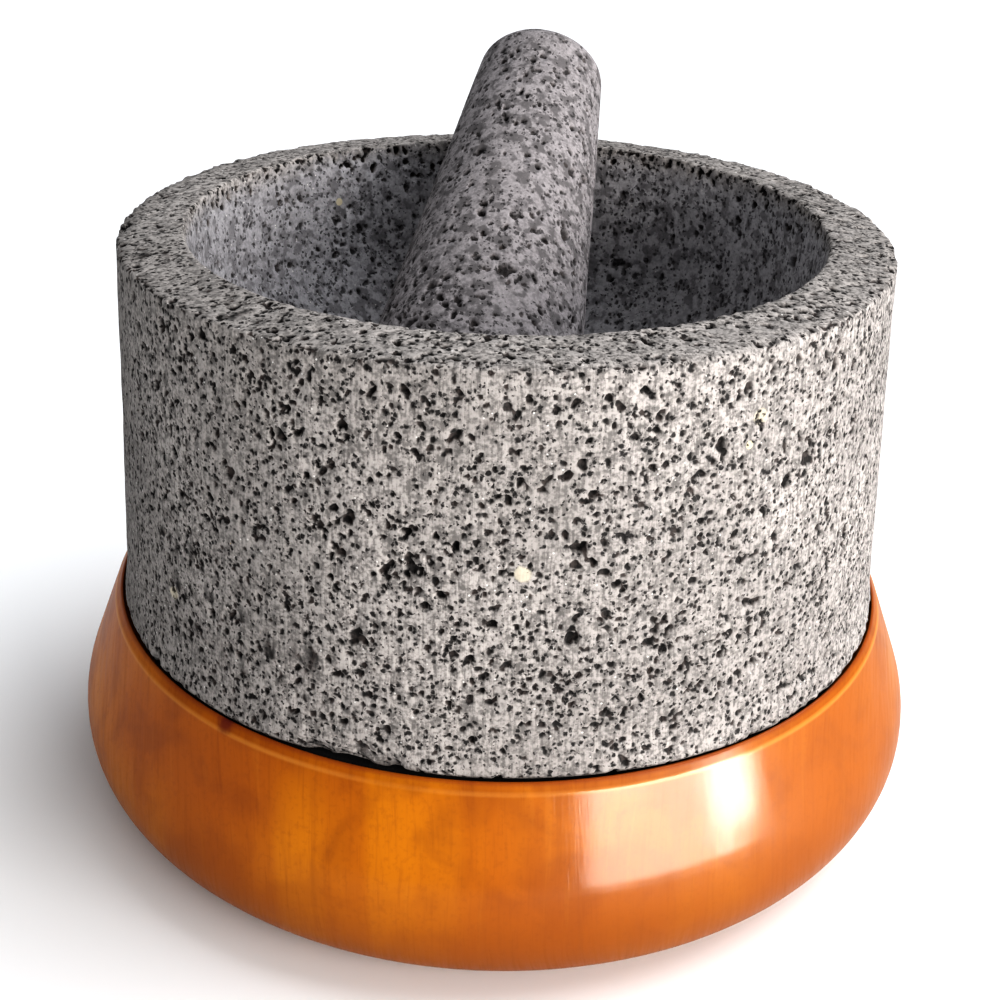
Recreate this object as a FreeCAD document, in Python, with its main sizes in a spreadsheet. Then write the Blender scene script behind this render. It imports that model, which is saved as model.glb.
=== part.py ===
import FreeCAD, Part
import math
import os

import Sketcher

# A stone mortar and pestle on a turned wooden base. Millimetres, +Z up, origin at the middle of the foot.
# The front is -Y. Each round piece is drawn as a half section and turned about its own upright axis.

DIMENSIONS = {
    "wooden_base": [
        ("base_height", 49.5, "foot to the top of the lip"),
        ("belly_radius", 101.0, "widest part of the base"),
        ("belly_height", 19.1, "height of the widest part"),
        ("belly_round", 19.5, "arc from the widest part under to the foot"),
        ("shoulder_round", 29.6, "arc from the widest part up to the flare"),
        ("lip_outer_radius", 92.1, "lower edge of the bevel on the lip"),
        ("lip_outer_height", 47.6, "height of that edge"),
        ("lip_top_radius", 90.7, "upper edge of the bevel on the lip"),
        ("lip_round", 0.4, "rounding of the lip's edges"),
        ("foot_round", 1.2, "rounding of the foot's edge"),
        ("recess_radius", 90.2, "round recess that the stone stands in"),
        ("recess_depth", 3.0, "depth of the recess"),
    ],
    "seat_pad": [
        ("pad_radius", 88.8, "felt disc"),
        ("pad_thickness", 2.0, "felt, pressed by the stone"),
    ],
    "stone_bowl": [
        ("bowl_height", 86.7, "underside to the inner edge of the rim"),
        ("seat_radius", 87.8, "flat underside"),
        ("bowl_foot_radius", 89.3, "outer wall, just above the worn lower edge"),
        ("bowl_foot_height", 1.5, "height of the worn lower edge"),
        ("bowl_top_radius", 85.0, "outer wall at the rim"),
        ("rim_outer_height", 85.2, "outer edge of the rim, lower than the inner one"),
        ("rim_radius", 70.3, "inner edge of the rim"),
        ("rim_round", 1.0, "rounding of both rim edges"),
        ("wall_draft", 6.0, "degrees the inner wall leans in"),
        ("floor_height", 25.5, "stone under the middle of the hollow"),
        ("floor_dish", 110.0, "radius of the dished floor"),
        ("floor_round", 36.0, "blend between the wall and the floor"),
    ],
    "pestle": [
        ("pestle_length", 113.8, "end to end"),
        ("heel_radius", 25.8, "thick grinding end"),
        ("heel_crown", 46.0, "radius of the worn grinding face"),
        ("heel_round", 11.0, "edge of the grinding face"),
        ("grip_radius", 15.5, "thin hand end"),
        ("grip_crown", 20.0, "radius of the hand end's top"),
        ("grip_round", 7.5, "edge of the hand end"),
        ("pestle_lean", 52.0, "degrees from upright"),
        ("pestle_heading", 11.9, "degrees the lean turns from the back, +Y, towards +X"),
        ("heel_x", -9.6, "middle of the grinding end"),
        ("heel_y", -15.2, "middle of the grinding end"),
        ("heel_z", 88.1, "middle of the grinding end"),
    ],
}

ORIGIN = -1
HEIGHT_AXIS = -2
START, END, CENTRE = 1, 2, 3

# Millimetres: how far a sketch line's first guess is set off, and how far a cut runs past the stone.
SLACK = 2.0

doc = FreeCAD.newDocument("molcajete")


def make_sheet():
    """Put every driving dimension in a cell whose alias is its name."""
    sheet = doc.addObject("Spreadsheet::Sheet", "dims")
    row = 1
    for piece, rows in DIMENSIONS.items():
        sheet.set(f"A{row}", piece)
        row += 1
        for alias, value, meaning in rows:
            sheet.set(f"A{row}", meaning)
            sheet.set(f"B{row}", str(value))
            sheet.setAlias(f"B{row}", alias)
            row += 1
    doc.recompute()
    return sheet


dims = make_sheet()


def size(alias):
    return float(dims.get(alias))


def make_body(name):
    body = doc.addObject("PartDesign::Body", name)
    body.Label = name
    return body


def origin_plane(body, role):
    for feature in body.Origin.OriginFeatures:
        if feature.Role == role:
            return feature
    raise ValueError(role)


def make_sketch(body, name, plane):
    sketch = body.newObject("Sketcher::SketchObject", name)
    sketch.AttachmentSupport = [(origin_plane(body, plane), "")]
    sketch.MapMode = "FlatFace"
    return sketch


def line(sketch, start, end):
    return sketch.addGeometry(Part.LineSegment(FreeCAD.Vector(*start, 0), FreeCAD.Vector(*end, 0)))


def arc(sketch, centre, radius, start_degrees, end_degrees):
    """Add an arc that runs anticlockwise from its start to its end."""
    circle = Part.Circle(FreeCAD.Vector(*centre, 0), FreeCAD.Vector(0, 0, 1), radius)
    span = (math.radians(start_degrees), math.radians(end_degrees))
    return sketch.addGeometry(Part.ArcOfCircle(circle, *span))


def join(sketch, *ends):
    """Make each pair of (edge, end) pairs one point."""
    for first, second in zip(ends[::2], ends[1::2]):
        sketch.addConstraint(Sketcher.Constraint("Coincident", *first, *second))


def smooth(sketch, first, second):
    """Join two edges at a point with no corner there."""
    sketch.addConstraint(Sketcher.Constraint("Tangent", *first, *second))


def level(sketch, edge):
    sketch.addConstraint(Sketcher.Constraint("Horizontal", edge))


def on_axis(sketch, point):
    sketch.addConstraint(Sketcher.Constraint("PointOnObject", *point, HEIGHT_AXIS))


def bind(sketch, constraint, expression):
    """Drive the last constraint of a sketch by an expression."""
    index = sketch.addConstraint(constraint)
    sketch.setExpression(f"Constraints[{index}]", expression)


def bind_radius(sketch, edge, alias):
    bind(sketch, Sketcher.Constraint("Radius", edge, size(alias)), f"dims.{alias}")


def bind_out(sketch, point, alias):
    """Set how far a point is from the axis."""
    bind(sketch, Sketcher.Constraint("DistanceX", ORIGIN, START, *point, size(alias)), f"dims.{alias}")


def bind_up(sketch, point, alias):
    """Set how high a point is above the bottom of its piece."""
    bind(sketch, Sketcher.Constraint("DistanceY", ORIGIN, START, *point, size(alias)), f"dims.{alias}")


def turn(body, sketch, kind, name):
    """Turn a half section about the upright axis, to add material or to cut it away."""
    before = body.Shape.Volume if kind == "Groove" else 0.0
    feature = body.newObject(f"PartDesign::{kind}", name)
    feature.Profile = sketch
    feature.ReferenceAxis = (sketch, ["V_Axis"])
    feature.Angle = 360
    sketch.Visibility = False
    doc.recompute()
    if kind == "Groove" and not feature.Shape.Volume < before:
        raise ValueError(f"{name} cuts nothing")
    return feature


def ring_edge(feature, radius, height):
    """Name the circular edge of a feature nearest to a radius and a height."""
    best = None
    for index, edge in enumerate(feature.Shape.Edges, 1):
        if edge.Degenerated or not isinstance(edge.Curve, Part.Circle):
            continue
        centre = edge.Curve.Center
        miss = math.hypot(edge.Curve.Radius - radius, centre.z - height)
        if best is None or miss < best[0]:
            best = (miss, f"Edge{index}")
    return best[1]


def round_edges(body, feature, name, places, alias):
    """Fillet the circular edges at some (radius, height) places."""
    fillet = body.newObject("PartDesign::Fillet", name)
    fillet.Base = (feature, [ring_edge(feature, *place) for place in places])
    fillet.setExpression("Radius", f"dims.{alias}")
    feature.Visibility = False
    doc.recompute()
    return fillet


def make_wooden_base():
    """Turned base: flat foot, round belly, flared side, bevelled lip, shallow recess in the top."""
    body = make_body("wooden_base")
    sketch = make_sketch(body, "base_section", "XZ_Plane")
    belly = (size("belly_radius"), size("belly_height"))
    lip_outer = (size("lip_outer_radius"), size("lip_outer_height"))
    lip_top = (size("lip_top_radius"), size("base_height"))
    belly_centre = (belly[0] - size("belly_round"), belly[1])
    shoulder_centre = (belly[0] - size("shoulder_round"), belly[1])
    foot = line(sketch, (0, 0), (belly_centre[0], 0))
    under = arc(sketch, belly_centre, size("belly_round"), -80, 0)
    shoulder = arc(sketch, shoulder_centre, size("shoulder_round"), 0, 20)
    flare = line(sketch, (belly[0] - SLACK, belly[1] + SLACK), lip_outer)
    bevel = line(sketch, lip_outer, lip_top)
    top = line(sketch, lip_top, (0, lip_top[1]))
    middle = line(sketch, (0, lip_top[1]), (0, 0))
    join(sketch, (foot, START), (ORIGIN, START), (foot, END), (under, START), (flare, END), (bevel, START))
    join(sketch, (bevel, END), (top, START), (top, END), (middle, START), (middle, END), (foot, START))
    level(sketch, foot)
    level(sketch, top)
    on_axis(sketch, (middle, START))
    smooth(sketch, (under, END), (shoulder, START))
    smooth(sketch, (shoulder, END), (flare, START))
    bind_radius(sketch, under, "belly_round")
    bind_radius(sketch, shoulder, "shoulder_round")
    bind_out(sketch, (under, END), "belly_radius")
    bind_up(sketch, (under, END), "belly_height")
    bind_up(sketch, (under, CENTRE), "belly_height")
    bind_out(sketch, (bevel, START), "lip_outer_radius")
    bind_up(sketch, (bevel, START), "lip_outer_height")
    bind_out(sketch, (bevel, END), "lip_top_radius")
    bind_up(sketch, (bevel, END), "base_height")
    blank = turn(body, sketch, "Revolution", "base_blank")

    recess = make_sketch(body, "recess_circle", "XY_Plane")
    recess.setExpression("AttachmentOffset.Base.z", "dims.base_height")
    ring = recess.addGeometry(Part.Circle(FreeCAD.Vector(), FreeCAD.Vector(0, 0, 1), size("recess_radius")))
    join(recess, (ring, CENTRE), (ORIGIN, START))
    bind_radius(recess, ring, "recess_radius")
    pocket = body.newObject("PartDesign::Pocket", "recess")
    pocket.Profile = recess
    pocket.setExpression("Length", "dims.recess_depth")
    recess.Visibility = False
    doc.recompute()
    if not pocket.Shape.Volume < blank.Shape.Volume:
        raise ValueError("the recess cuts nothing")

    lip_edges = [lip_outer, lip_top]
    lip = round_edges(body, pocket, "lip_edges", lip_edges, "lip_round")
    foot_place = (belly_centre[0], 0)
    round_edges(body, lip, "foot_edge", [foot_place], "foot_round")
    return body


def make_seat_pad():
    """Felt disc that lies loose on the floor of the recess."""
    body = make_body("seat_pad")
    sketch = make_sketch(body, "pad_circle", "XY_Plane")
    ring = sketch.addGeometry(Part.Circle(FreeCAD.Vector(), FreeCAD.Vector(0, 0, 1), size("pad_radius")))
    join(sketch, (ring, CENTRE), (ORIGIN, START))
    bind_radius(sketch, ring, "pad_radius")
    disc = body.newObject("PartDesign::Pad", "felt")
    disc.Profile = sketch
    disc.setExpression("Length", "dims.pad_thickness")
    sketch.Visibility = False
    body.setExpression("Placement.Base.z", "dims.base_height - dims.recess_depth")
    return body


def make_stone_bowl():
    """Mortar: a stone drum with a worn lower edge, a sloping rim and a deep round hollow."""
    body = make_body("stone_bowl")
    sketch = make_sketch(body, "drum_section", "XZ_Plane")
    seat = (size("seat_radius"), 0)
    foot = (size("bowl_foot_radius"), size("bowl_foot_height"))
    rim_outer = (size("bowl_top_radius"), size("rim_outer_height"))
    rim_inner = (size("rim_radius"), size("bowl_height"))
    corners = [(0, 0), seat, foot, rim_outer, rim_inner, (0, rim_inner[1])]
    edges = [line(sketch, *ends) for ends in zip(corners, corners[1:] + corners[:1])]
    under, worn, wall, rim, top, middle = edges
    for edge, following in zip(edges, edges[1:] + edges[:1]):
        join(sketch, (edge, END), (following, START))
    join(sketch, (under, START), (ORIGIN, START))
    level(sketch, under)
    level(sketch, top)
    on_axis(sketch, (middle, START))
    bind_out(sketch, (under, END), "seat_radius")
    bind_out(sketch, (worn, END), "bowl_foot_radius")
    bind_up(sketch, (worn, END), "bowl_foot_height")
    bind_out(sketch, (wall, END), "bowl_top_radius")
    bind_up(sketch, (wall, END), "rim_outer_height")
    bind_out(sketch, (rim, END), "rim_radius")
    bind_up(sketch, (rim, END), "bowl_height")
    turn(body, sketch, "Revolution", "drum")

    cut = make_sketch(body, "hollow_section", "XZ_Plane")
    dish = size("floor_dish")
    low = size("floor_height")
    corner_angle = math.degrees(math.asin(size("rim_radius") / dish))
    corner = (size("rim_radius") - SLACK, low + dish * (1 - math.cos(math.radians(corner_angle))))
    above = rim_inner[1] + SLACK
    floor = arc(cut, (0, low + dish), dish, -90, -90 + corner_angle)
    inner_wall = line(cut, corner, rim_inner)
    mouth = line(cut, rim_inner, (rim_inner[0], above))
    lid = line(cut, (rim_inner[0], above), (0, above))
    axis = line(cut, (0, above), (0, low))
    join(cut, (floor, END), (inner_wall, START), (inner_wall, END), (mouth, START), (mouth, END), (lid, START))
    join(cut, (lid, END), (axis, START), (axis, END), (floor, START))
    level(cut, lid)
    cut.addConstraint(Sketcher.Constraint("Vertical", mouth))
    on_axis(cut, (floor, CENTRE))
    on_axis(cut, (axis, START))
    on_axis(cut, (axis, END))
    bind_radius(cut, floor, "floor_dish")
    bind_up(cut, (axis, END), "floor_height")
    bind_out(cut, (mouth, START), "rim_radius")
    bind_up(cut, (mouth, START), "bowl_height")
    cut.addConstraint(Sketcher.Constraint("DistanceY", mouth, START, mouth, END, SLACK))
    lean = Sketcher.Constraint("Angle", inner_wall, START, mouth, START, math.radians(size("wall_draft")))
    lean_index = cut.addConstraint(lean)
    cut.setExpression(f"Constraints[{lean_index}]", "dims.wall_draft * 1 deg")
    hollow = turn(body, cut, "Groove", "hollow")

    blend = round_edges(body, hollow, "floor_blend", [corner], "floor_round")
    round_edges(body, blend, "rim_edges", [rim_inner, rim_outer], "rim_round")
    body.setExpression("Placement.Base.z", "dims.base_height - dims.recess_depth + dims.pad_thickness")
    return body


def make_pestle():
    """Hand stone: a tapered round bar with a broad worn heel and a domed grip end, leaning on the rim."""
    body = make_body("pestle")
    sketch = make_sketch(body, "pestle_section", "XZ_Plane")
    tall = size("pestle_length")
    heel_crown, grip_crown = size("heel_crown"), size("grip_crown")
    heel_angle = math.degrees(math.asin(size("heel_radius") / heel_crown))
    grip_angle = math.degrees(math.asin(size("grip_radius") / grip_crown))
    heel_edge = heel_crown * (1 - math.cos(math.radians(heel_angle)))
    grip_edge = tall - grip_crown * (1 - math.cos(math.radians(grip_angle)))
    heel = arc(sketch, (0, heel_crown), heel_crown, -90, -90 + heel_angle)
    taper = line(sketch, (size("heel_radius"), heel_edge), (size("grip_radius"), grip_edge))
    crown = arc(sketch, (0, tall - grip_crown), grip_crown, 90 - grip_angle, 90)
    middle = line(sketch, (0, tall), (0, 0))
    join(sketch, (heel, START), (ORIGIN, START), (heel, END), (taper, START), (taper, END), (crown, START))
    join(sketch, (crown, END), (middle, START), (middle, END), (ORIGIN, START))
    on_axis(sketch, (heel, CENTRE))
    on_axis(sketch, (crown, CENTRE))
    on_axis(sketch, (middle, START))
    bind_radius(sketch, heel, "heel_crown")
    bind_radius(sketch, crown, "grip_crown")
    bind_out(sketch, (taper, START), "heel_radius")
    bind_out(sketch, (taper, END), "grip_radius")
    bind_up(sketch, (middle, START), "pestle_length")
    bar = turn(body, sketch, "Revolution", "tapered_bar")
    heel_place = (size("heel_radius"), heel_edge)
    grip_place = (size("grip_radius"), grip_edge)
    rounded = round_edges(body, bar, "heel_edge", [heel_place], "heel_round")
    round_edges(body, rounded, "grip_edge", [grip_place], "grip_round")
    body.setExpression("Placement.Rotation.Axis.x", "-cos(dims.pestle_heading * 1 deg)")
    body.setExpression("Placement.Rotation.Axis.y", "sin(dims.pestle_heading * 1 deg)")
    body.setExpression("Placement.Rotation.Axis.z", "0")
    body.setExpression("Placement.Rotation.Angle", "dims.pestle_lean * 1 deg")
    body.setExpression("Placement.Base.x", "dims.heel_x")
    body.setExpression("Placement.Base.y", "dims.heel_y")
    body.setExpression("Placement.Base.z", "dims.heel_z")
    return body


pieces = [make_wooden_base(), make_seat_pad(), make_stone_bowl(), make_pestle()]
doc.recompute()

for item in doc.Objects:
    if "Invalid" in item.State or "Error" in item.State:
        raise ValueError(f"{item.Name} did not compute: {item.State}")

os.makedirs("parts", exist_ok=True)
for piece in pieces:
    if piece.Shape.isNull() or not piece.Shape.isValid() or len(piece.Shape.Solids) != 1:
        raise ValueError(f"{piece.Label} is not one valid solid")
    piece.Shape.exportStep(f"parts/{piece.Label}.step")
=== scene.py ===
import math

import bpy
import numpy as np
from mathutils import Matrix, Vector


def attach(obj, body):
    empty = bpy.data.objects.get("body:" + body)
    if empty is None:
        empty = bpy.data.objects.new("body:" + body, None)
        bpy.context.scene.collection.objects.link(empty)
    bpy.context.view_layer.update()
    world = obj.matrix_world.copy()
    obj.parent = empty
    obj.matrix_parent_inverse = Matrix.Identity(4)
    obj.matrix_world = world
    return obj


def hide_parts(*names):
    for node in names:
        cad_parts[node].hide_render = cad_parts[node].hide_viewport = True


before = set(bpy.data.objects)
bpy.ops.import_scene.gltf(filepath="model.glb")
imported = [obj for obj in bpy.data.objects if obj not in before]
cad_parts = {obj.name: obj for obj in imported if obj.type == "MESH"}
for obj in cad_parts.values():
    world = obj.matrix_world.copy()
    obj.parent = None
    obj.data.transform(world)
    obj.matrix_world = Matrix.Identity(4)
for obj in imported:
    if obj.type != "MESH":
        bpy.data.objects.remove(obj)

# A stone mortar with its pestle, on a turned wooden base. Metres, +Z up, the front is -Y.
# The two stones are turned from their CAD outlines, then worn, chipped and opened with pores in the mesh.

MM = 0.001
rng = np.random.default_rng(7)

# A point inside each piece's half section, as (radius, height), that sees the whole outline.
BASE_INSIDE = (91 * MM, 25 * MM)
BOWL_INSIDE = (72 * MM, 62 * MM)

# The pestle's own frame, as in the CAD: the middle of its heel, and the way it leans.
PESTLE_HEEL = Vector((-9.6, -15.2, 88.1)) * MM
PESTLE_LEAN = math.radians(52.0)
PESTLE_HEADING = math.radians(11.9)

# The spacing of the stones' mesh, and the most triangles that each piece may have.
STONE_PITCH = 0.42 * MM
PESTLE_PITCH = STONE_PITCH * 0.9
STONE_FACES = 196000
PESTLE_FACES = 100000
BASE_FACES = 196000
FELT_FACES = 120000

# Columns round the base and the felt, and the radius within which their flat faces need few rows.
BASE_COLUMNS = 540
FELT_COLUMNS = 900
FLAT_RADIUS = 80 * MM

CAMERA_PLACE = Vector((0.0, -334.8, 235.2)) * MM
CAMERA_TILT = math.radians(26.93)
CAMERA_ROLL = math.radians(1.61)
CAMERA_LENS = 55.84

WARM = (1.0, 0.965, 0.935)
COOL = (0.95, 0.97, 1.0)
HIGH_ELEVATION = math.radians(56)
HIGH_BEARING = math.radians(18)
FLOOR_HALF_SIZE = 30.0


# --- Outlines ---------------------------------------------------------------------------------------------

def node_points(node):
    """A CAD node's vertices as rows of x, y, z."""
    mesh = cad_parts[node].data
    flat = np.empty(len(mesh.vertices) * 3)
    mesh.vertices.foreach_get("co", flat)
    return flat.reshape(-1, 3)


def section_of(points):
    """Each point's radius and height about the upright axis, once each."""
    section = np.column_stack([np.hypot(points[:, 0], points[:, 1]), points[:, 2]])
    return np.unique(np.round(section, 5), axis=0)


def outline_round(node, inside):
    """A turned node's half section, in order from the axis under it, round the outside, to the axis above."""
    section = section_of(node_points(node))
    low = section[:, 1].min()
    section = np.vstack([[0.0, low], section])
    angle = np.arctan2(section[:, 1] - inside[1], section[:, 0] - inside[0])
    return section[np.argsort(angle)]


def along(outline):
    """How far along the outline each of its points is."""
    steps = np.hypot(*np.diff(outline, axis=0).T)
    return np.concatenate([[0.0], np.cumsum(steps)])


def resample(outline, pitch_at):
    """Put points along an outline with a spacing that depends on where they are."""
    distance = along(outline)
    places = [0.0]
    while places[-1] < distance[-1]:
        here = np.array([np.interp(places[-1], distance, outline[:, k]) for k in (0, 1)])
        places.append(places[-1] + pitch_at(*here))
    places[-1] = distance[-1]
    return np.column_stack([np.interp(places, distance, outline[:, k]) for k in (0, 1)])


# --- Turned meshes with a worn, porous surface --------------------------------------------------------------

# How far a pit's edge departs from round, as shares of its radius.
TWO_LOBES = 0.2
THREE_LOBES = 0.12

# How steeply an open pore's side drops, and a chip's; a smaller number is steeper.
PORE_STEEP = 0.45
CHIP_STEEP = 1.0
NOTCH_STEEP = 0.8


class Turned:
    """A grid of points: one row per outline point, one column per angle. Each has a depth to be cut into it
    and a swell, by which it stands farther from the axis than the outline."""

    def __init__(self, outline, columns):
        self.outline = outline
        self.columns = columns
        self.distance = along(outline)
        self.angle = np.arange(columns) * (2 * math.pi / columns)
        self.depth = np.zeros((len(outline), columns))
        self.swell = np.zeros((len(outline), columns))
        self.pore = np.zeros((len(outline), columns))

    def normals(self):
        """Outward (radius, height) normal of each row."""
        slope = np.gradient(self.outline, axis=0)
        slope /= np.maximum(np.linalg.norm(slope, axis=1), 1e-12)[:, None]
        return np.column_stack([slope[:, 1], -slope[:, 0]])

    def noise(self, size):
        """Smooth noise, about -2 to 2, whose lumps are about size across."""
        rows, columns = self.depth.shape
        white = rng.standard_normal((rows, columns))
        row_pitch = np.diff(self.distance).mean()
        column_pitch = 2 * math.pi * self.outline[:, 0].max() / columns
        row_wave = np.fft.fftfreq(rows)[:, None] * size / row_pitch
        column_wave = np.fft.rfftfreq(columns)[None, :] * size / column_pitch
        keep = np.exp(-2 * math.pi * (row_wave ** 2 + column_wave ** 2))
        field = np.fft.irfft2(np.fft.rfft2(white) * keep, s=(rows, columns))
        return field / field.std()

    def wear(self, size, amount):
        """Lower the surface unevenly, by up to about twice the amount, and less near the axis."""
        fade = np.clip(self.outline[:, 0] / (12 * MM), 0, 1)[:, None]
        self.depth += np.clip(self.noise(size) + 1.6, 0, 4) * amount * fade

    def window(self, row_place, angle, reach):
        """Rows and columns within reach of a place on the surface, with their offsets along and across."""
        first, last = np.searchsorted(self.distance, [row_place - reach, row_place + reach])
        radius = self.outline[first:last, 0]
        if last <= first:
            return None
        widest = max(radius.max(), 1e-6)
        half = min(int(reach / widest / (2 * math.pi) * self.columns) + 1, self.columns // 2 - 1)
        middle = int(round(angle / (2 * math.pi) * self.columns))
        steps = np.arange(middle - half, middle + half + 1)
        turn = steps * (2 * math.pi / self.columns) - angle
        across = np.minimum(radius, 2 * widest)[:, None] * turn[None, :]
        up = np.broadcast_to((self.distance[first:last] - row_place)[:, None], across.shape)
        return slice(first, last), steps % self.columns, across, up

    def bite(self, row_place, angle, radius, depth, steep, stretch=1.0, is_pore=True):
        """Cut one pit with an uneven round edge."""
        found = self.window(row_place, angle, radius * 1.5 * max(stretch, 1))
        if found is None:
            return
        rows, columns, across, up = found
        turn = rng.uniform(0, 2 * math.pi, 3)
        lean = turn[2]
        first = across * math.cos(lean) + up * math.sin(lean)
        second = (up * math.cos(lean) - across * math.sin(lean)) / stretch
        bearing = np.arctan2(second, first)
        edge = 1 + TWO_LOBES * np.sin(2 * bearing + turn[0]) + THREE_LOBES * np.sin(3 * bearing + turn[1])
        inside = np.clip(1 - (np.hypot(first, second) / (radius * edge)) ** 2, 0, 1)
        cut = depth * inside ** steep
        patch = np.ix_(np.arange(rows.start, rows.stop), columns)
        self.depth[patch] = np.maximum(self.depth[patch], cut)
        # A pore's mask, which the stone's material paints as shade.
        if is_pore:
            shade = np.clip(inside * 2.5, 0, 1)
            self.pore[patch] = np.maximum(self.pore[patch], shade)

    def pores(self, per_cm2, sizes, where):
        """Open pores of random sizes, even over the area where the outline passes the test."""
        out, height = self.outline.T
        area = np.where(where(out, height), out * np.gradient(self.distance) * 2 * math.pi, 0)
        count = int(area.sum() * 1e4 * per_cm2)
        rows = rng.choice(len(out), count, p=area / area.sum())
        for row in rows:
            size = rng.choice(sizes) * rng.uniform(0.85, 1.15)
            stretch = rng.uniform(1.0, 1.5)
            depth = size * rng.uniform(0.5, 0.9)
            place = self.distance[row] + rng.uniform(-0.5, 0.5) * STONE_PITCH
            radius = size / 2 / math.sqrt(stretch)
            self.bite(place, rng.uniform(0, 2 * math.pi), radius, depth, PORE_STEEP, stretch=stretch)

    def cluster(self, row_place, angle, spread, count, sizes):
        """Open a knot of pores that run into each other."""
        radius = np.interp(row_place, self.distance, self.outline[:, 0])
        for _ in range(count):
            aside, up = rng.normal(0, spread, 2)
            size = rng.choice(sizes)
            self.bite(row_place + up, angle + aside / radius, size / 2, size * 0.7, PORE_STEEP)

    def mesh(self, name, faces):
        """Build the closed mesh, then thin it where it is flat."""
        rows, columns = self.depth.shape
        normal = self.normals()
        ring = self.outline[:, None, :] - normal[:, None, :] * self.depth[:, :, None]
        radius = np.maximum(ring[:, :, 0] + self.swell, 0)
        grid = np.stack([radius * np.cos(self.angle), radius * np.sin(self.angle), ring[:, :, 1]], axis=-1)
        inner = grid[1:-1].reshape(-1, 3)
        ends = np.array([[0, 0, self.outline[0, 1]], [0, 0, ring[-1, :, 1].mean()]])
        points = np.vstack([inner, ends])
        here = np.arange(columns)
        beside = np.roll(here, -1)
        lower = (np.arange(rows - 3) * columns)[:, None]
        upper = lower + columns
        quads = np.stack([lower + here, lower + beside, upper + beside, upper + here], -1)
        top = (rows - 3) * columns
        foot_fan = np.column_stack([np.full(columns, len(inner)), beside, here])
        head_fan = np.column_stack([np.full(columns, len(inner) + 1), top + here, top + beside])
        loops = np.concatenate([quads.reshape(-1), foot_fan.reshape(-1), head_fan.reshape(-1)])
        totals = np.concatenate([np.full(quads.size // 4, 4), np.full(2 * columns, 3)])
        mesh = bpy.data.meshes.new(name)
        mesh.vertices.add(len(points))
        mesh.vertices.foreach_set("co", points.reshape(-1))
        mesh.loops.add(len(loops))
        mesh.loops.foreach_set("vertex_index", loops.astype(np.int32))
        mesh.polygons.add(len(totals))
        mesh.polygons.foreach_set("loop_start", np.concatenate([[0], np.cumsum(totals)[:-1]]).astype(np.int32))
        mesh.update(calc_edges=True)
        # Each point's pore mask, which the stone's material paints as shade.
        shade = mesh.attributes.new("pore", "FLOAT", "POINT")
        shade.data.foreach_set("value", np.concatenate([self.pore[1:-1].reshape(-1), [0.0, 0.0]]))
        piece = bpy.data.objects.new(name, mesh)
        bpy.context.scene.collection.objects.link(piece)
        triangles = int((totals - 2).sum())
        if triangles > faces:
            thin = piece.modifiers.new("thin", "DECIMATE")
            thin.ratio = faces / triangles
            apply_modifiers(piece)
        piece.data.polygons.foreach_set("use_smooth", np.ones(len(piece.data.polygons), dtype=bool))
        return piece


def apply_modifiers(piece):
    """Replace a piece's mesh by what its modifiers make of it."""
    evaluated = piece.evaluated_get(bpy.context.evaluated_depsgraph_get())
    finished = bpy.data.meshes.new_from_object(evaluated)
    before = piece.data
    piece.modifiers.clear()
    piece.data = finished
    bpy.data.meshes.remove(before)


# --- Pieces -----------------------------------------------------------------------------------------------

# Pore widths.
SMALL = (1.0 * MM, 1.15 * MM, 1.3 * MM)
MIDDLE = (1.5 * MM, 1.7 * MM, 1.9 * MM)
LARGE = (2.3 * MM, 2.7 * MM, 3.2 * MM)

# Notches in the bowl's lower edge: bearing in degrees and width in mm.
NOTCHES = ((247, 3.5), (252, 4.5), (257, 3.0), (215, 2.5))

# Knots of pores on the wall: bearing in degrees, height and spread in mm.
KNOTS = ((-101, 95, 1.3), (-69, 80, 1.5), (-108, 77, 1.2), (-47, 108, 1.3), (20, 90, 1.5))
KNOT_PORES = 7
RANDOM_KNOTS = 60

# How far the bowl's lower edge is dressed out, against the height above its underside in mm.
SWELL_HEIGHTS = (0.05, 0.4, 1.0, 1.5, 9)
SWELL_SHARES = (0, 1.6, 1.35, 1.0, 0)


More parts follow.
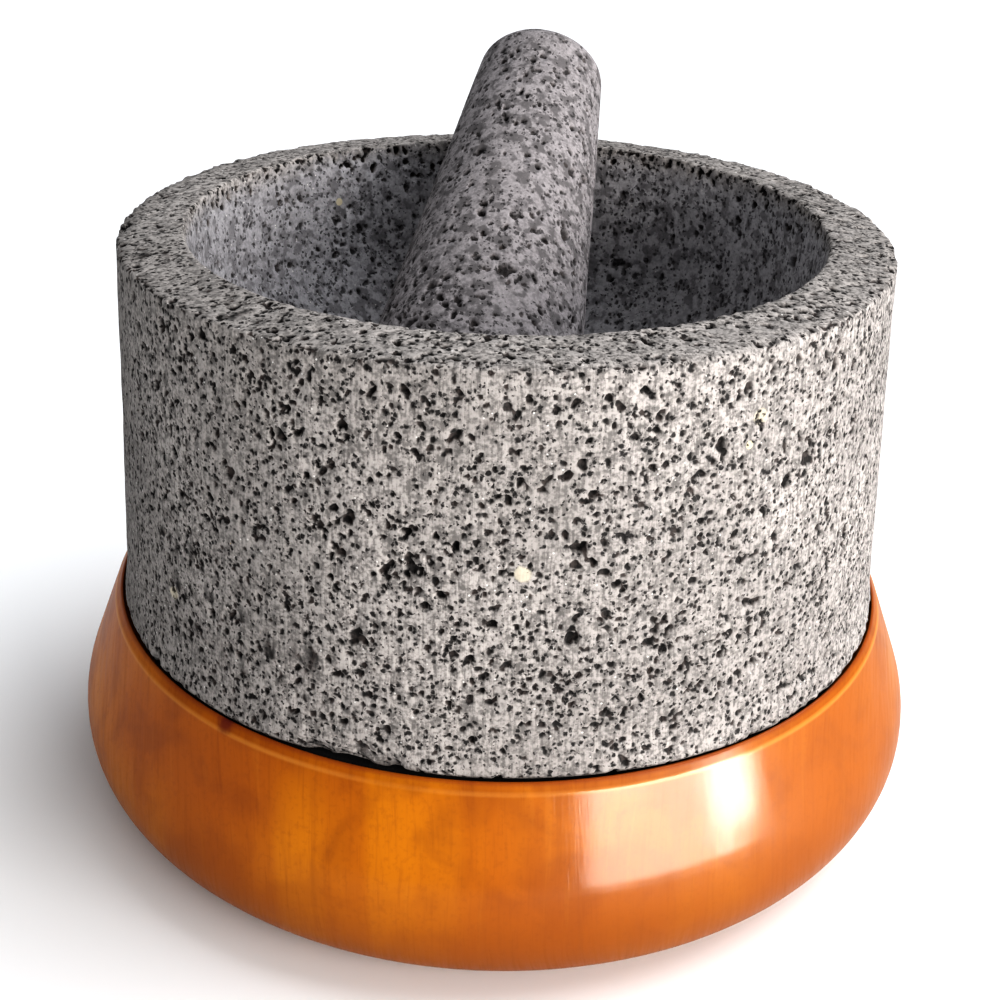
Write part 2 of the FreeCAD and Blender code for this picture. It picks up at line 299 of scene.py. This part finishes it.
def stone_bowl():
    """The mortar: rough drum, chipped edges, open pores all over but for the flat underside."""
    outline = outline_round("stone_bowl", BOWL_INSIDE)
    low, high = outline[:, 1].min(), outline[:, 1].max()
    seat_radius = outline[outline[:, 1] < low + 0.01 * MM, 0].max()

    def pitch(radius, height):
        on_underside = height < low + 0.01 * MM and radius < seat_radius - 2 * MM
        return 2.5 * MM if on_underside else STONE_PITCH

    fine = resample(outline, pitch)
    stone = Turned(fine, int(2 * math.pi * fine[:, 0].max() / STONE_PITCH))
    stone.wear(26 * MM, 0.10 * MM)
    stone.wear(5 * MM, 0.03 * MM)

    def outer_wall(radius, height):
        return (radius > 84 * MM) & (height > low + 0.5 * MM)

    def rim(radius, height):
        return (height > high - 2.2 * MM) & (radius > 69 * MM)

    def hollow(radius, height):
        return (radius < 70.4 * MM) & (height > low + 5 * MM)

    stone.pores(9.4, SMALL, outer_wall)
    stone.pores(1.5, MIDDLE, outer_wall)
    stone.pores(0.07, LARGE, outer_wall)
    stone.pores(7.5, SMALL, rim)
    stone.pores(2.6, MIDDLE, rim)
    stone.pores(3.8, SMALL, hollow)
    stone.pores(1.6, MIDDLE, hollow)
    stone.pores(0.10, LARGE, hollow)

    # The foot is dressed to fill the recess, but for a low place at the front left.
    def hump(degrees, width):
        away = np.degrees(stone.angle) - degrees
        return np.exp(-(((away + 180) % 360 - 180) / width) ** 2)

    fullness = 0.80 - 0.28 * hump(274, 14) - 0.9 * hump(252, 9) + 0.05 * np.sin(5 * stone.angle)
    above = (fine[:, 1] - low) / MM
    near_foot = np.interp(above, SWELL_HEIGHTS, SWELL_SHARES) * (fine[:, 0] > 85 * MM)
    stone.swell += near_foot[:, None] * fullness * MM

    arris = stone.distance[np.argmax(fine[:, 0] + fine[:, 1])]
    foot = stone.distance[np.argmax(fine[:, 0])]
    inner = stone.distance[np.argmax(fine[:, 1])]
    for place, count, size in ((arris, 420, 1.8 * MM), (inner, 240, 1.5 * MM), (foot, 200, 1.6 * MM)):
        for _ in range(count):
            width = size * rng.uniform(0.5, 1.6)
            spot = place + rng.normal(0, 0.4 * MM)
            stone.bite(spot, rng.uniform(0, 2 * math.pi), width, width * 0.25, CHIP_STEEP, is_pore=False)
    for degrees, width in NOTCHES:
        stone.bite(foot - 0.3 * MM, math.radians(degrees), width * MM, 1.3 * MM, NOTCH_STEEP, is_pore=False)
    for degrees, height, spread in KNOTS:
        place = foot + (height * MM - fine[np.argmax(fine[:, 0]), 1])
        stone.cluster(place, math.radians(degrees % 360), spread * MM, KNOT_PORES, MIDDLE)
    for _ in range(RANDOM_KNOTS):
        place = rng.uniform(foot + 4 * MM, arris - 4 * MM)
        stone.cluster(place, rng.uniform(0, 2 * math.pi), 1.2 * MM, rng.integers(3, 7), SMALL)
    piece = stone.mesh("mortar", STONE_FACES)
    piece.data.materials.append(basalt("bowl_stone", BOWL_LOOK))
    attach(piece, "bowl")
    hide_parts("stone_bowl")


def pestle_matrix():
    """Takes the pestle's own upright frame to where it leans."""
    axis = Vector((-math.cos(PESTLE_HEADING), math.sin(PESTLE_HEADING), 0))
    return Matrix.Translation(PESTLE_HEEL) @ Matrix.Rotation(PESTLE_LEAN, 4, axis)


def pestle():
    """The hand stone: smoother than the bowl from use, with fewer small pores."""
    stand_up = np.array(pestle_matrix().inverted())
    points = node_points("pestle")
    upright = points @ stand_up[:3, :3].T + stand_up[:3, 3]
    section = section_of(upright)
    section = section[np.argsort(section[:, 1])]
    tall = section[-1, 1]
    steps = np.linspace(0, tall, 400)
    outline = np.column_stack([np.interp(steps, section[:, 1], section[:, 0]), steps])
    outline = np.vstack([[0.0, 0.0], outline[1:-1], [0.0, tall]])
    fine = resample(outline, lambda radius, height: PESTLE_PITCH)
    stone = Turned(fine, int(2 * math.pi * fine[:, 0].max() / PESTLE_PITCH))
    stone.wear(14 * MM, 0.06 * MM)
    stone.wear(4 * MM, 0.02 * MM)

    def anywhere(radius, height):
        return radius > 0

    stone.pores(4.6, SMALL, anywhere)
    stone.pores(1.6, MIDDLE, anywhere)
    stone.pores(0.2, LARGE, anywhere)
    piece = stone.mesh("hand_stone", PESTLE_FACES)
    piece.data.transform(pestle_matrix())
    piece.data.materials.append(basalt("pestle_stone", PESTLE_LOOK))
    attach(piece, "pestle")
    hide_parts("pestle")


def wooden_base():
    """The turned base: the CAD outline with a fine lathe finish."""
    outline = outline_round("wooden_base", BASE_INSIDE)

    def pitch(radius, height):
        if radius < FLAT_RADIUS:
            return 5 * MM
        return 0.25 * MM if height > 45 * MM and radius > 86 * MM else 0.8 * MM

    wood = Turned(resample(outline, pitch), BASE_COLUMNS)
    wood.wear(30 * MM, 0.02 * MM)
    piece = wood.mesh("turned_base", BASE_FACES)
    piece.data.materials.append(varnished_wood())
    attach(piece, "base")
    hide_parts("wooden_base")


def seat_felt():
    """The felt disc: cut by hand, so its edge is soft and a little uneven."""
    section = section_of(node_points("seat_pad"))
    cut_radius = section[:, 0].max()
    low, high = section[:, 1].min(), section[:, 1].max()
    half = (high - low) / 2
    bend = np.radians(np.linspace(-90, 90, 13))
    edge = np.column_stack([cut_radius - half + half * np.cos(bend), low + half + half * np.sin(bend)])
    outline = np.vstack([[0.0, low], edge, [0.0, high]])
    fine = resample(outline, lambda radius, height: 4 * MM if radius < FLAT_RADIUS else 0.3 * MM)
    felt_disc = Turned(fine, FELT_COLUMNS)
    felt_disc.wear(3 * MM, 0.05 * MM)
    piece = felt_disc.mesh("seat_felt", FELT_FACES)
    piece.data.materials.append(felt())
    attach(piece, "pad")
    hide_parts("seat_pad")


# --- Materials ----------------------------------------------------------------------------------------------

class Nodes:
    """Short calls for building a material's node tree."""

    def __init__(self, name):
        self.material = bpy.data.materials.new(name)
        self.material.use_nodes = True
        self.tree = self.material.node_tree
        self.shader = self.tree.nodes["Principled BSDF"]
        self.place = self.new("ShaderNodeTexCoord").outputs["Object"]

    def new(self, kind, **settings):
        node = self.tree.nodes.new(kind)
        for key, value in settings.items():
            setattr(node, key, value)
        return node

    def feed(self, socket, value):
        """Link a socket to another one's output, or set its number."""
        if isinstance(value, bpy.types.NodeSocket):
            self.tree.links.new(value, socket)
        else:
            socket.default_value = value

    def math(self, operation, *values):
        node = self.new("ShaderNodeMath", operation=operation)
        for socket, value in zip(node.inputs, values):
            self.feed(socket, value)
        return node.outputs[0]

    def vector(self, operation, *values):
        node = self.new("ShaderNodeVectorMath", operation=operation)
        for socket, value in zip(node.inputs, values):
            self.feed(socket, value)
        return node.outputs[0]

    def noise(self, place, scale, detail=2.0, roughness=0.5, distortion=0.0):
        node = self.new("ShaderNodeTexNoise")
        for name, value in (("Vector", place), ("Scale", scale), ("Detail", detail)):
            self.feed(node.inputs[name], value)
        node.inputs["Roughness"].default_value = roughness
        node.inputs["Distortion"].default_value = distortion
        return node.outputs["Fac"]

    def cells(self, place, scale):
        """Voronoi cells: the distance to each cell's middle, and its random colour."""
        node = self.new("ShaderNodeTexVoronoi")
        self.feed(node.inputs["Vector"], place)
        self.feed(node.inputs["Scale"], scale)
        return node.outputs["Distance"], node.outputs["Color"]

    def span(self, value, low, high, to_low=0.0, to_high=1.0):
        """Map low..high to to_low..to_high, smoothly and clamped."""
        node = self.new("ShaderNodeMapRange", interpolation_type="SMOOTHSTEP")
        for name, item in (("Value", value), ("From Min", low), ("From Max", high)):
            self.feed(node.inputs[name], item)
        node.inputs["To Min"].default_value = to_low
        node.inputs["To Max"].default_value = to_high
        return node.outputs["Result"]

    def blend(self, amount, first, second):
        """Mix two colours."""
        node = self.new("ShaderNodeMix", data_type="RGBA")
        self.feed(node.inputs[0], amount)
        for socket, value in ((node.inputs[6], first), (node.inputs[7], second)):
            if isinstance(value, tuple):
                value = (*value, 1.0)
            self.feed(socket, value)
        return node.outputs[2]

    def split(self, value, kind="XYZ"):
        """The three parts of a place, or of a colour where kind is Color."""
        node = self.new("ShaderNodeSeparate" + kind)
        self.feed(node.inputs[0], value)
        return node.outputs

    def round_about_z(self):
        """The angle about the upright axis in radians, the radius, and the place's x and z."""
        x, y, z = self.split(self.place)
        radius = self.math("SQRT", self.math("ADD", self.math("MULTIPLY", x, x), self.math("MULTIPLY", y, y)))
        return self.math("ARCTAN2", y, x), radius, x, z

    def join(self, x, y, z):
        node = self.new("ShaderNodeCombineXYZ")
        for socket, value in zip(node.inputs, (x, y, z)):
            self.feed(socket, value)
        return node.outputs[0]

    def spot(self, degrees, radius, height, least, most):
        """One inside a blotch around a place given by its bearing, radius and height; 0 outside it."""
        turn = math.radians(degrees)
        middle = (math.cos(turn) * radius, math.sin(turn) * radius, height)
        node = self.new("ShaderNodeVectorMath", operation="DISTANCE")
        self.feed(node.inputs[0], self.place)
        node.inputs[1].default_value = middle
        uneven = self.math("MULTIPLY_ADD", self.noise(self.place, 700.0), 1.2 * MM, -0.6 * MM)
        return self.span(self.math("ADD", node.outputs["Value"], uneven), least, most, 1.0, 0.0)

    def bump(self, height, distance):
        node = self.new("ShaderNodeBump")
        node.inputs["Distance"].default_value = distance
        self.feed(node.inputs["Height"], height)
        return node.outputs["Normal"]


# Each look: the stone's two greys, its crystals, how crowded its pores are and how dark the painted shade in
# them is,
# and whether it is striped: the bowl, with a wall scored by the lathe and a worn hollow. An inclusion is a
# bearing in degrees, a height and a radius in mm.
BOWL_LOOK = {
    "pale": (0.415, 0.387, 0.368),
    "dull": (0.15, 0.14, 0.133),
    "crystal": (0.62, 0.60, 0.58),
    "crowd": 1.0,
    "dark": 1.0,
    "inclusions": (
        (-87, 94, 1.9), (-56, 120, 1.9), (-140, 70, 1.8),
        (10, 100, 2.1), (62, 74, 1.9), (128, 112, 2.2),
    ),
    "striped": True,
}
PESTLE_LOOK = {
    "pale": (0.35, 0.326, 0.33),
    "dull": (0.21, 0.196, 0.199),
    "crystal": (0.36, 0.34, 0.34),
    "crowd": 0.75,
    "dark": 0.75,
    "inclusions": (),
    "striped": False,
}
PORE_SHADE_BLACK = (0.008, 0.007, 0.007)
PORE_SHADE_BROWN = (0.060, 0.047, 0.043)
HOLLOW_DULL = (0.37, 0.362, 0.375)
HOLLOW_PALE = (0.49, 0.480, 0.50)
HOLLOW_STAIN_AND_SHADE = (0.15, 0.146, 0.155)
PESTLE_STAIN = (0.10, 0.093, 0.094)
CREAM = (0.55, 0.49, 0.35)
INCLUSION = (0.54, 0.49, 0.39)

# The bowl's outer wall, in mm: its radius at two heights.
WALL_HEIGHTS = (50, 133.7)
WALL_RADII = (89.3, 85)

# For each size of fine pore: cells per metre, the share of cells with a pore in them, its least and
# greatest radius as a share of a cell, and how dark the painted shade in it is.
FINE_PORES = (
    (470.0, 0.42, 0.22, 0.34, 0.97),
    (690.0, 0.74, 0.24, 0.38, 0.96),
    (1150.0, 0.40, 0.22, 0.36, 0.80),
)


def basalt(name, look):
    """Grey volcanic stone: fine pores and crystals, with painted shade that darkens the fine pores and the
    pores that the mesh opens.
    """
    n = Nodes(name)
    warp = n.new("ShaderNodeTexNoise")
    warp.inputs["Scale"].default_value = 1100.0
    warp.inputs["Detail"].default_value = 3.0
    n.feed(warp.inputs["Vector"], n.place)
    shift = n.vector("SCALE", n.vector("SUBTRACT", warp.outputs["Color"], (0.5, 0.5, 0.5)))
    shift.node.inputs["Scale"].default_value = 1.3 * MM
    place = n.vector("ADD", n.place, shift)

    # Pores too fine for the mesh: bubbles of random size in a random foam, cut open by the surface, dented by
    # the bump and painted near-black as shade.
    crowd = n.span(n.noise(n.place, 130.0, 2.0), 0.3, 0.7, 0.5 * look["crowd"], 1.5 * look["crowd"])
    holes = None
    for scale, share, least, greatest, dark in FINE_PORES:
        distance, colour = n.cells(place, scale)
        chance, bigness, _ = n.split(colour, "Color")
        here = n.math("LESS_THAN", chance, n.math("MULTIPLY", crowd, share))
        size = n.span(bigness, 0.0, 1.0, least, greatest)
        hole = n.span(n.math("SUBTRACT", size, distance), -0.05, 0.15)
        hole = n.math("MULTIPLY", n.math("MULTIPLY", hole, here), dark)
        holes = hole if holes is None else n.math("MAXIMUM", holes, hole)

    tone = n.noise(n.place, 28.0, 3.0)
    grain = n.noise(n.place, 1500.0, 2.0, 0.5)
    blotch = n.noise(n.place, 620.0, 2.0, 0.5)
    mixed = n.math("ADD", n.math("MULTIPLY", grain, 0.5), n.math("MULTIPLY", blotch, 0.5))
    height = n.math("SUBTRACT", n.math("MULTIPLY", mixed, 0.6), holes)
    dark = look["dark"]
    if look["striped"]:
        angle, radius, x, z = n.round_about_z()
        scoring = n.join(n.math("MULTIPLY", angle, 130.0), n.math("MULTIPLY", z, 90.0), 0.0)
        groove = n.noise(scoring, 1.0, 3.0, 0.65)
        on_wall = n.span(radius, 80 * MM, 83 * MM, 0.0, 1.0)
        groove = n.math("MULTIPLY", n.math("SUBTRACT", groove, 0.5), on_wall)
        mixed = n.math("ADD", mixed, n.math("MULTIPLY", groove, 0.4))
        height = n.math("ADD", height, n.math("MULTIPLY", groove, 0.5))
    colour = n.blend(n.span(mixed, 0.36, 0.62), look["dull"], look["pale"])
    colour = n.blend(n.span(tone, 0.35, 0.7, 0.0, 0.3), colour, look["dull"])
    stain = n.span(n.noise(n.place, 330.0, 3.0, 0.55), 0.48, 0.60, 0.0, 0.78)
    if look["striped"]:
        # Painted shade: the left of the outer wall, below x = -62 mm, is darkened towards the dull grey.
        left_wall_shade = n.math("MULTIPLY", n.span(x, -86 * MM, -62 * MM, 0.5, 0.0), on_wall)
        colour = n.blend(left_wall_shade, colour, look["dull"])
        wear_and_highlight = n.span(radius, 70.6 * MM, 69.8 * MM, 0.0, 0.85)
        smooth = n.blend(n.span(mixed, 0.36, 0.62), HOLLOW_DULL, HOLLOW_PALE)
        smooth = n.blend(stain, smooth, HOLLOW_STAIN_AND_SHADE)
        # Painted shade: the left of the hollow, below x = -40 mm, is darkened towards the stain colour; the
        # noise stain above it is real.
        smooth = n.blend(n.span(x, -58 * MM, -40 * MM, 0.4, 0.0), smooth, HOLLOW_STAIN_AND_SHADE)
        colour = n.blend(wear_and_highlight, colour, smooth)
        dark = n.span(radius, 69.8 * MM, 70.6 * MM, 0.72, 1.0)
    else:
        colour = n.blend(stain, colour, PESTLE_STAIN)

    # Small pale crystals, and a few larger cream ones.
    for scale, rare, size, tint in ((1000.0, 0.95, 0.2, look["crystal"]), (95.0, 0.985, 0.16, CREAM)):
        distance, random = n.cells(n.place, scale)
        _, chance, _ = n.split(random, "Color")
        chosen = n.math("GREATER_THAN", chance, rare)
        inside = n.math("LESS_THAN", distance, size)
        colour = n.blend(n.math("MULTIPLY", chosen, inside), colour, tint)

    for degrees, height_mm, size in look["inclusions"]:
        wall_radius = np.interp(height_mm, WALL_HEIGHTS, WALL_RADII) * MM
        cream = n.spot(degrees, wall_radius, height_mm * MM, size * 0.7 * MM, size * MM)
        colour = n.blend(n.math("MULTIPLY", cream, 0.85), colour, INCLUSION)

    # Painted shade: the mesh's pores and the fine ones are painted near-black, and the mesh's pores are mottled
    # with brown, as pits in shadow look.
    pore = n.new("ShaderNodeAttribute", attribute_name="pore").outputs["Fac"]
    pore_shade = n.math("MULTIPLY", n.span(pore, 0.0, 0.85), dark)
    colour = n.blend(n.math("MULTIPLY", holes, dark), colour, PORE_SHADE_BLACK)
    inside = n.blend(n.span(blotch, 0.42, 0.66, 0.0, 0.8), PORE_SHADE_BLACK, PORE_SHADE_BROWN)
    colour = n.blend(n.math("MULTIPLY", pore_shade, 0.97), colour, inside)
    n.feed(n.shader.inputs["Base Color"], colour)
    n.feed(n.shader.inputs["Roughness"], n.span(grain, 0.3, 0.7, 0.8, 0.98))
    n.shader.inputs["Specular IOR Level"].default_value = 0.15
    n.feed(n.shader.inputs["Normal"], n.bump(height, 0.24 * MM))
    return n.material


GOLDEN = (0.54, 0.180, 0.001)
AMBER = (0.38, 0.098, 0.001)
BROWN = (0.17, 0.033, 0.001)
PALE_LINE = (0.60, 0.24, 0.02)
RIGHT_SIDE_SHADE = (0.24, 0.072, 0.001)
LOW_BELLY_SHADE = (0.20, 0.052, 0.001)
LIP_EDGE_HIGHLIGHT = (0.62, 0.27, 0.05)
LIP_CREST_SHADE = (0.20, 0.03, 0.002)
KNOT_RED = (0.11, 0.008, 0.006)
LIP_EDGE = 47.55 * MM


def varnished_wood():
    """Amber-stained wood, cut so that its layers stand across X, under a glossy varnish with fine scratches."""
    n = Nodes("varnished_base_wood")

    def layers(scale, detail):
        """Noise drawn out along Y and Z, so that it shows as upright lines at the front."""
        stretch = n.new("ShaderNodeMapping")
        bend = n.vector("SCALE", n.vector("SUBTRACT", wander.outputs["Color"], (0.5, 0.5, 0.5)))
        bend.node.inputs["Scale"].default_value = 12 * MM
        n.feed(stretch.inputs["Vector"], n.vector("ADD", n.place, bend))
        stretch.inputs["Rotation"].default_value = (0.0, 0.0, math.radians(12))
        stretch.inputs["Scale"].default_value = (1.0, 0.04, 0.06)
        return n.noise(stretch.outputs[0], scale, detail, 0.6)

    wander = n.new("ShaderNodeTexNoise")
    wander.inputs["Scale"].default_value = 14.0
    n.feed(wander.inputs["Vector"], n.place)
    angle, _, x, z = n.round_about_z()
    fibre = layers(1500.0, 3.0)
    line = layers(420.0, 3.0)
    band = layers(75.0, 2.0)
    figure = n.noise(n.place, 75.0, 3.0, 0.5, 0.6)
    cloud = n.noise(n.place, 19.0, 2.0)
    fleck = n.noise(n.place, 900.0, 2.0, 0.6)

    # Sapwood to heartwood in clouds, then the figure and the grain, then painted shade that darkens the right
    # side, towards +X, which the window lights most.
    colour = n.blend(n.span(cloud, 0.35, 0.65), GOLDEN, AMBER)
    colour = n.blend(n.span(band, 0.4, 0.65, 0.0, 0.6), colour, AMBER)
    colour = n.blend(n.span(figure, 0.42, 0.66, 0.0, 0.34), colour, BROWN)
    colour = n.blend(n.span(line, 0.56, 0.72, 0.0, 0.22), colour, BROWN)
    colour = n.blend(n.span(line, 0.40, 0.30, 0.0, 0.12), colour, PALE_LINE)
    colour = n.blend(n.span(fibre, 0.5, 0.72, 0.0, 0.18), colour, BROWN)
    colour = n.blend(n.span(fleck, 0.5, 0.7, 0.0, 0.15), colour, BROWN)
    # Painted shade: darker towards +X, the side the window lights most.
    colour = n.blend(n.span(x, -60 * MM, 80 * MM, 0.0, 0.5), colour, RIGHT_SIDE_SHADE)

    # Painted shade darkens the belly low down, a painted highlight runs along the lip's lower edge, and painted
    # shade darkens the lip's crest beside the gap round the stone.
    low = n.span(n.math("MULTIPLY_ADD", figure, 14 * MM, z), 13 * MM, 41 * MM, 0.8, 0.0)
    colour = n.blend(low, colour, LOW_BELLY_SHADE)
    # Painted highlight: a pale line along the lip's lower edge, at LIP_EDGE.
    edge = n.math("ABSOLUTE", n.math("SUBTRACT", z, LIP_EDGE))
    wear_and_highlight = n.math("MULTIPLY", n.span(edge, 0.7 * MM, 0.1 * MM), n.span(cloud, 0.35, 0.6, 0.1, 0.45))
    colour = n.blend(wear_and_highlight, colour, LIP_EDGE_HIGHLIGHT)
    # Painted shade: the lip's crest, next to the gap round the stone, is darkened.
    colour = n.blend(n.span(z, 48.6 * MM, 49.3 * MM, 0.0, 0.5), colour, LIP_CREST_SHADE)
    knot = n.spot(-127, 91 * MM, 49.0 * MM, 0.8 * MM, 3.2 * MM)
    colour = n.blend(n.math("MULTIPLY", knot, 0.8), colour, KNOT_RED)
    n.feed(n.shader.inputs["Base Color"], colour)
    n.feed(n.shader.inputs["Roughness"], n.span(fibre, 0.3, 0.7, 0.5, 0.65))
    n.shader.inputs["Specular IOR Level"].default_value = 0.06
    n.shader.inputs["Coat Weight"].default_value = 0.26
    n.shader.inputs["Coat IOR"].default_value = 1.5
    n.shader.inputs["Coat Roughness"].default_value = 0.14
    scratch = n.noise(n.join(n.math("MULTIPLY", angle, 300.0), n.math("MULTIPLY", z, 120.0), 7.0), 1.0, 2.0)
    wave = n.noise(n.place, 60.0, 1.0)
    n.feed(n.shader.inputs["Normal"], n.bump(fibre, 0.01 * MM))
    height = n.math("ADD", n.math("MULTIPLY", scratch, 0.1), wave)
    n.feed(n.shader.inputs["Coat Normal"], n.bump(height, 0.2 * MM))
    return n.material


def felt():
    """Black pressed felt."""
    n = Nodes("black_seat_felt")
    fibre = n.noise(n.place, 2200.0, 4.0, 0.7)
    n.feed(n.shader.inputs["Base Color"], n.blend(fibre, (0.006, 0.006, 0.006), (0.028, 0.027, 0.028)))
    n.feed(n.shader.inputs["Roughness"], n.span(fibre, 0.3, 0.7, 0.88, 1.0))
    n.shader.inputs["Specular IOR Level"].default_value = 0.1
    n.feed(n.shader.inputs["Normal"], n.bump(fibre, 0.3 * MM))
    return n.material


# --- Stage --------------------------------------------------------------------------------------------------

def floor():
    """A wide pale floor."""
    size = FLOOR_HALF_SIZE
    corners = [(-size, -size, 0), (size, -size, 0), (size, size, 0), (-size, size, 0)]
    mesh = bpy.data.meshes.new("floor")
    mesh.from_pydata(corners, [], [(0, 1, 2, 3)])
    ground = bpy.data.objects.new("floor", mesh)
    bpy.context.scene.collection.objects.link(ground)
    n = Nodes("pale_floor")
    n.shader.inputs["Base Color"].default_value = (0.88, 0.88, 0.88, 1.0)
    n.shader.inputs["Roughness"].default_value = 0.9
    ground.data.materials.append(n.material)


def softbox(name, bearing, place, size, radiance, gleam_only=False):
    """An upright rectangular light. Bearing is in degrees from +X towards +Y; place is its distance out and its
    height. One that is gleam_only is seen in the varnish and lights nothing."""
    light = bpy.data.lights.new(name, "AREA")
    light.shape = "RECTANGLE"
    light.size, light.size_y = size
    light.energy = radiance * math.pi * size[0] * size[1]
    light.color = WARM
    lamp = bpy.data.objects.new(name, light)
    turn = math.radians(bearing)
    out, height = place
    lamp.location = (math.cos(turn) * out, math.sin(turn) * out, height)
    target = Vector((0, 0, height))
    lamp.rotation_euler = (lamp.location - target).to_track_quat("Z", "Y").to_euler()
    lamp.visible_camera = False
    lamp.visible_diffuse = not gleam_only
    bpy.context.scene.collection.objects.link(lamp)


def lights():
    """A window standing at the front right with one brighter pane, a soft light high up, and a dim sky."""
    softbox("window", -47, (0.9, 0.27), (0.70, 0.36), 9.5)
    softbox("window_gleam", -47, (0.55, 0.13), (0.44, 0.256), 29, gleam_only=True)
    softbox("pane_gleam", -32, (0.53, 0.13), (0.11, 0.25), 42, gleam_only=True)

    high = bpy.data.lights.new("high", "SUN")
    high.energy = 2.1
    high.angle = math.radians(50)
    high.color = COOL
    lamp = bpy.data.objects.new("high", high)
    lamp.rotation_euler = (math.radians(90) - HIGH_ELEVATION, 0, math.radians(90) + HIGH_BEARING)
    bpy.context.scene.collection.objects.link(lamp)

    world = bpy.data.worlds.new("sky")
    world.use_nodes = True
    sky = world.node_tree.nodes["Background"]
    sky.inputs["Color"].default_value = (0.96, 0.98, 1.0, 1.0)
    sky.inputs["Strength"].default_value = 0.38
    bpy.context.scene.world = world


def camera():
    """The photograph's viewpoint: above the front, looking down a little, rolled slightly."""
    data = bpy.data.cameras.new("camera")
    data.lens = CAMERA_LENS
    data.sensor_width = 36.0
    data.clip_start = 0.01
    view = bpy.data.objects.new("camera", data)
    pitch = Matrix.Rotation(math.radians(90) - CAMERA_TILT, 4, "X")
    roll = Matrix.Rotation(CAMERA_ROLL, 4, "Z")
    view.matrix_world = Matrix.Translation(CAMERA_PLACE) @ pitch @ roll
    bpy.context.scene.collection.objects.link(view)
    bpy.context.scene.camera = view


for startup in ("Cube", "Light", "Camera"):
    if startup in bpy.data.objects:
        bpy.data.objects.remove(bpy.data.objects[startup])
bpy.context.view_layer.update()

wooden_base()
seat_felt()
stone_bowl()
pestle()
floor()
lights()
camera()
bpy.context.scene.view_settings.view_transform = "Standard"
bpy.context.scene.view_settings.look = "High Contrast"
